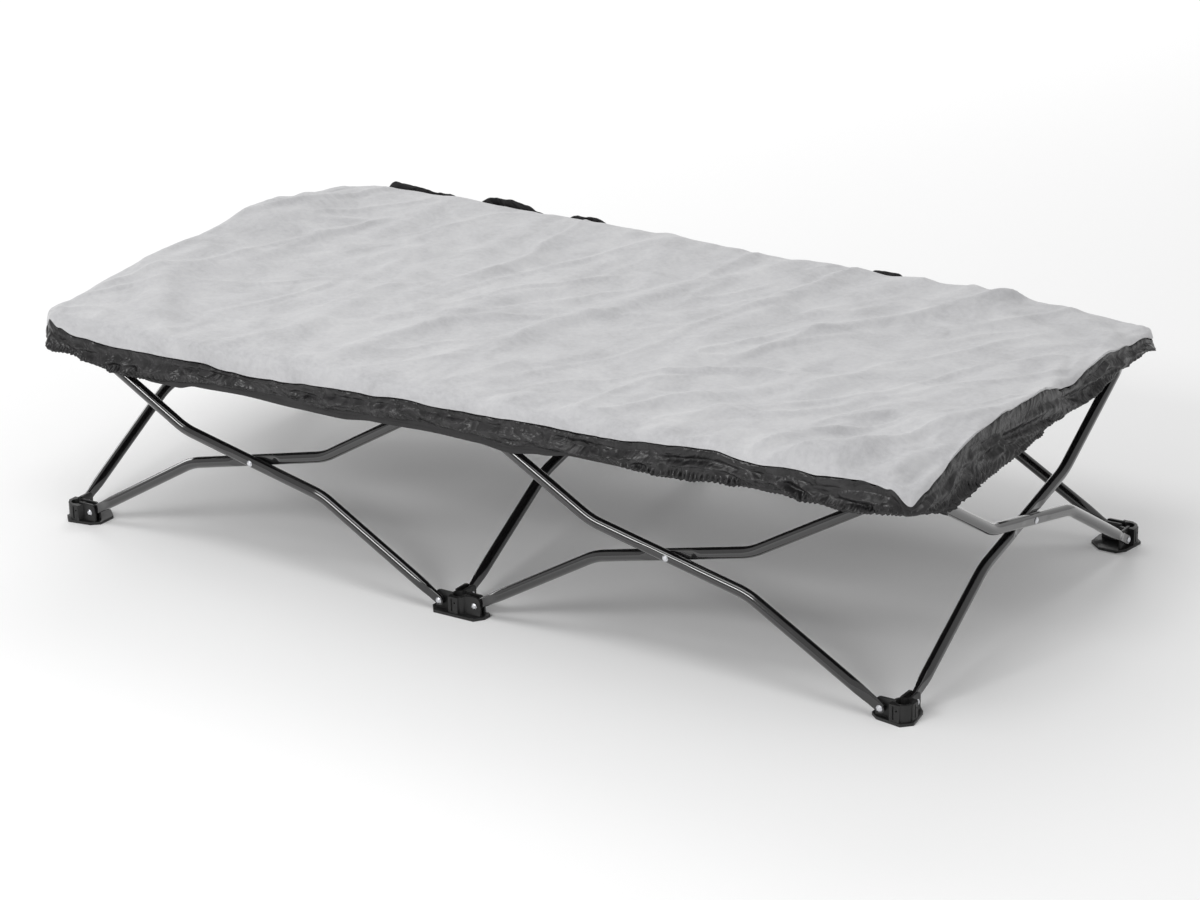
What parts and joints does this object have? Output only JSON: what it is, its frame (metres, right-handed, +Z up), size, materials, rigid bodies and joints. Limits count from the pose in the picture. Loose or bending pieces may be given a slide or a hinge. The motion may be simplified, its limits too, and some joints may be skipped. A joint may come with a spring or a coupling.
{
  "type": "raised dog bed",
  "caption": "Raised pet bed: a folding scissor frame of bent tubes on moulded feet, a taut fabric deck, and a fitted fleece cover with a gathered skirt.",
  "frame": {"origin": "on the floor, under the middle of the bed", "axes": "+X along the bed, +Y across it from the pictured long side to the far one, +Z up"},
  "size_m": [1.2058, 0.626, 0.2908],
  "materials": {
    "tube_black": "gloss",
    "bracket_black": "satin",
    "rivet_zinc": "bright zinc",
    "deck_black": "woven",
    "skirt_black": "crumpled nylon",
    "fleece_grey": "short fleece"
  },
  "bodies": {
    "foot_front_left": {"foot_front_left": "bracket_black", "rivet_foot_front_left_side": "rivet_zinc", "rivet_foot_front_left_end": "rivet_zinc"},
    "hub_front_left": {"hub_front_left": "bracket_black", "skirt_left": "skirt_black"},
    "foot_front_middle": {"foot_front_middle": "bracket_black", "rivet_foot_front_middle_near": "rivet_zinc", "rivet_foot_front_middle_far": "rivet_zinc", "rivet_foot_front_middle_cross": "rivet_zinc"},
    "hub_front_middle": {"hub_front_middle": "bracket_black", "skirt_front": "skirt_black", "deck_front_edge": "deck_black", "fleece_front_edge": "fleece_grey"},
    "foot_front_right": {"foot_front_right": "bracket_black", "rivet_foot_front_right_side": "rivet_zinc", "rivet_foot_front_right_end": "rivet_zinc"},
    "hub_front_right": {"hub_front_right": "bracket_black", "skirt_right": "skirt_black"},
    "foot_back_left": {"foot_back_left": "bracket_black", "rivet_foot_back_left_side": "rivet_zinc", "rivet_foot_back_left_end": "rivet_zinc"},
    "hub_back_left": {"hub_back_left": "bracket_black"},
    "foot_back_middle": {"foot_back_middle": "bracket_black", "rivet_foot_back_middle_near": "rivet_zinc", "rivet_foot_back_middle_far": "rivet_zinc", "rivet_foot_back_middle_cross": "rivet_zinc"},
    "hub_back_middle": {"hub_back_middle": "bracket_black", "skirt_back": "skirt_black", "deck_back_edge": "deck_black", "fleece_back_edge": "fleece_grey"},
    "foot_back_right": {"foot_back_right": "bracket_black", "rivet_foot_back_right_side": "rivet_zinc", "rivet_foot_back_right_end": "rivet_zinc"},
    "hub_back_right": {"hub_back_right": "bracket_black"},
    "cloth_front_half": {"deck_front_half": "deck_black", "fleece_front_half": "fleece_grey"},
    "cloth_back_half": {"deck_back_half": "deck_black", "fleece_back_half": "fleece_grey"},
    "tube_front_left_outer": {"tube_front_left_outer": "tube_black", "rivet_centre_front_left": "rivet_zinc"},
    "tube_front_left_inner": {"tube_front_left_inner": "tube_black"},
    "tube_front_right_outer": {"tube_front_right_outer": "tube_black", "rivet_centre_front_right": "rivet_zinc"},
    "tube_front_right_inner": {"tube_front_right_inner": "tube_black"},
    "tube_back_left_outer": {"tube_back_left_outer": "tube_black", "rivet_centre_back_left": "rivet_zinc"},
    "tube_back_left_inner": {"tube_back_left_inner": "tube_black"},
    "tube_back_right_outer": {"tube_back_right_outer": "tube_black", "rivet_centre_back_right": "rivet_zinc"},
    "tube_back_right_inner": {"tube_back_right_inner": "tube_black"},
    "tube_left_end_outer": {"tube_left_end_outer": "tube_black", "rivet_centre_left_end": "rivet_zinc"},
    "tube_left_end_inner": {"tube_left_end_inner": "tube_black"},
    "tube_right_end_outer": {"tube_right_end_outer": "tube_black", "rivet_centre_right_end": "rivet_zinc"},
    "tube_right_end_inner": {"tube_right_end_inner": "tube_black"},
    "tube_middle_outer": {"tube_middle_outer": "tube_black", "rivet_centre_middle": "rivet_zinc"},
    "tube_middle_inner": {"tube_middle_inner": "tube_black"}
  },
  "joints": [
    {"name": "frame_fold", "type": "hinge", "parent": "foot_front_middle", "child": "tube_front_left_outer", "pos_m": [-0.023, -0.2938, 0.0145], "axis": [0, 1, 0], "range_deg": [0, 55], "deforming": ["skirt_front", "skirt_back", "skirt_left", "skirt_right", "deck_front_edge", "deck_back_edge", "deck_front_half", "deck_back_half", "fleece_front_edge", "fleece_back_edge", "fleece_front_half", "fleece_back_half"]},
    {"name": "foot_front_middle_to_front_right_inner", "type": "hinge", "parent": "foot_front_middle", "child": "tube_front_right_inner", "pos_m": [0.023, -0.2938, 0.0145], "axis": [0, -1, 0], "range_deg": [0, 55]},
    {"name": "foot_front_middle_to_middle_inner", "type": "hinge", "parent": "foot_front_middle", "child": "tube_middle_inner", "pos_m": [0, -0.267, 0.0145], "axis": [1, 0, 0], "range_deg": [0, 55]},
    {"name": "hub_front_left_to_front_left_outer", "type": "hinge", "parent": "tube_front_left_outer", "child": "hub_front_left", "pos_m": [-0.557, -0.2938, 0.2545], "axis": [0, -1, 0], "range_deg": [0, 55]},
    {"name": "cross_front_left", "type": "hinge", "parent": "tube_front_left_outer", "child": "tube_front_left_inner", "pos_m": [-0.29, -0.2938, 0.1345], "axis": [0, -1, 0], "range_deg": [0, 110]},
    {"name": "foot_front_left_to_front_left_inner", "type": "hinge", "parent": "tube_front_left_inner", "child": "foot_front_left", "pos_m": [-0.557, -0.2938, 0.0145], "axis": [0, 1, 0], "range_deg": [0, 55]},
    {"name": "hub_front_middle_to_front_left_inner", "type": "hinge", "parent": "tube_front_left_inner", "child": "hub_front_middle", "pos_m": [-0.023, -0.2938, 0.2545], "axis": [0, 1, 0], "range_deg": [0, 55]},
    {"name": "hub_front_right_to_front_right_inner", "type": "hinge", "parent": "tube_front_right_inner", "child": "hub_front_right", "pos_m": [0.557, -0.2938, 0.2545], "axis": [0, 1, 0], "range_deg": [0, 55]},
    {"name": "cross_front_right", "type": "hinge", "parent": "tube_front_right_inner", "child": "tube_front_right_outer", "pos_m": [0.29, -0.2938, 0.1345], "axis": [0, 1, 0], "range_deg": [0, 110]},
    {"name": "foot_front_right_to_front_right_outer", "type": "hinge", "parent": "tube_front_right_outer", "child": "foot_front_right", "pos_m": [0.557, -0.2938, 0.0145], "axis": [0, -1, 0], "range_deg": [0, 55]},
    {"name": "hub_back_middle_to_middle_inner", "type": "hinge", "parent": "tube_middle_inner", "child": "hub_back_middle", "pos_m": [0, 0.267, 0.2545], "axis": [-1, 0, 0], "range_deg": [0, 55]},
    {"name": "cross_middle", "type": "hinge", "parent": "tube_middle_inner", "child": "tube_middle_outer", "pos_m": [0, 0, 0.1345], "axis": [-1, 0, 0], "range_deg": [0, 110]},
    {"name": "foot_back_middle_to_middle_outer", "type": "hinge", "parent": "tube_middle_outer", "child": "foot_back_middle", "pos_m": [0, 0.267, 0.0145], "axis": [1, 0, 0], "range_deg": [0, 55]},
    {"name": "hub_front_left_to_left_end_inner", "type": "hinge", "parent": "hub_front_left", "child": "tube_left_end_inner", "pos_m": [-0.5838, -0.267, 0.2545], "axis": [-1, 0, 0], "range_deg": [0, 55]},
    {"name": "cross_left_end", "type": "hinge", "parent": "tube_left_end_inner", "child": "tube_left_end_outer", "pos_m": [-0.5838, 0, 0.1345], "axis": [1, 0, 0], "range_deg": [0, 110]},
    {"name": "foot_back_left_to_left_end_inner", "type": "hinge", "parent": "tube_left_end_inner", "child": "foot_back_left", "pos_m": [-0.5838, 0.267, 0.0145], "axis": [1, 0, 0], "range_deg": [0, 55]},
    {"name": "hub_back_left_to_left_end_outer", "type": "hinge", "parent": "tube_left_end_outer", "child": "hub_back_left", "pos_m": [-0.5838, 0.267, 0.2545], "axis": [-1, 0, 0], "range_deg": [0, 55]},
    {"name": "hub_front_right_to_right_end_outer", "type": "hinge", "parent": "hub_front_right", "child": "tube_right_end_outer", "pos_m": [0.5838, -0.267, 0.2545], "axis": [-1, 0, 0], "range_deg": [0, 55]},
    {"name": "cross_right_end", "type": "hinge", "parent": "tube_right_end_outer", "child": "tube_right_end_inner", "pos_m": [0.5838, 0, 0.1345], "axis": [1, 0, 0], "range_deg": [0, 110]},
    {"name": "foot_back_right_to_right_end_outer", "type": "hinge", "parent": "tube_right_end_outer", "child": "foot_back_right", "pos_m": [0.5838, 0.267, 0.0145], "axis": [1, 0, 0], "range_deg": [0, 55]},
    {"name": "hub_back_right_to_right_end_inner", "type": "hinge", "parent": "tube_right_end_inner", "child": "hub_back_right", "pos_m": [0.5838, 0.267, 0.2545], "axis": [-1, 0, 0], "range_deg": [0, 55]},
    {"name": "hub_back_middle_to_back_left_outer", "type": "hinge", "parent": "hub_back_middle", "child": "tube_back_left_outer", "pos_m": [-0.023, 0.2938, 0.2545], "axis": [0, -1, 0], "range_deg": [0, 55]},
    {"name": "hub_back_middle_to_back_right_inner", "type": "hinge", "parent": "hub_back_middle", "child": "tube_back_right_inner", "pos_m": [0.023, 0.2938, 0.2545], "axis": [0, 1, 0], "range_deg": [0, 55]},
    {"name": "cross_back_left", "type": "hinge", "parent": "tube_back_left_outer", "child": "tube_back_left_inner", "pos_m": [-0.29, 0.2938, 0.1345], "axis": [0, 1, 0], "range_deg": [0, 110]},
    {"name": "cross_back_right", "type": "hinge", "parent": "tube_back_right_inner", "child": "tube_back_right_outer", "pos_m": [0.29, 0.2938, 0.1345], "axis": [0, -1, 0], "range_deg": [0, 110]},
    {"name": "cloth_front_drop", "type": "hinge", "parent": "hub_front_middle", "child": "cloth_front_half", "pos_m": [0, -0.232, 0.287], "axis": [-1, 0, 0], "range_deg": [0, 85.09]},
    {"name": "cloth_back_drop", "type": "hinge", "parent": "hub_back_middle", "child": "cloth_back_half", "pos_m": [0, 0.232, 0.287], "axis": [1, 0, 0], "range_deg": [0, 85.09]}
  ],
  "couplings": [
    {"joint": "foot_front_middle_to_front_right_inner", "follows": "frame_fold", "ratio": 1},
    {"joint": "foot_front_middle_to_middle_inner", "follows": "frame_fold", "ratio": 1},
    {"joint": "hub_front_left_to_front_left_outer", "follows": "frame_fold", "ratio": 1},
    {"joint": "cross_front_left", "follows": "frame_fold", "ratio": 2},
    {"joint": "foot_front_left_to_front_left_inner", "follows": "frame_fold", "ratio": 1},
    {"joint": "hub_front_middle_to_front_left_inner", "follows": "frame_fold", "ratio": 1},
    {"joint": "hub_front_right_to_front_right_inner", "follows": "frame_fold", "ratio": 1},
    {"joint": "cross_front_right", "follows": "frame_fold", "ratio": 2},
    {"joint": "foot_front_right_to_front_right_outer", "follows": "frame_fold", "ratio": 1},
    {"joint": "hub_back_middle_to_middle_inner", "follows": "frame_fold", "ratio": 1},
    {"joint": "cross_middle", "follows": "frame_fold", "ratio": 2},
    {"joint": "foot_back_middle_to_middle_outer", "follows": "frame_fold", "ratio": 1},
    {"joint": "hub_front_left_to_left_end_inner", "follows": "frame_fold", "ratio": 1},
    {"joint": "cross_left_end", "follows": "frame_fold", "ratio": 2},
    {"joint": "foot_back_left_to_left_end_inner", "follows": "frame_fold", "ratio": 1},
    {"joint": "hub_back_left_to_left_end_outer", "follows": "frame_fold", "ratio": 1},
    {"joint": "hub_front_right_to_right_end_outer", "follows": "frame_fold", "ratio": 1},
    {"joint": "cross_right_end", "follows": "frame_fold", "ratio": 2},
    {"joint": "foot_back_right_to_right_end_outer", "follows": "frame_fold", "ratio": 1},
    {"joint": "hub_back_right_to_right_end_inner", "follows": "frame_fold", "ratio": 1},
    {"joint": "hub_back_middle_to_back_left_outer", "follows": "frame_fold", "ratio": 1},
    {"joint": "hub_back_middle_to_back_right_inner", "follows": "frame_fold", "ratio": 1},
    {"joint": "cross_back_left", "follows": "frame_fold", "ratio": 2},
    {"joint": "cross_back_right", "follows": "frame_fold", "ratio": 2},
    {"joint": "cloth_front_drop", "follows": "frame_fold", "ratio": 1.5471},
    {"joint": "cloth_back_drop", "follows": "frame_fold", "ratio": 1.5471}
  ]
}
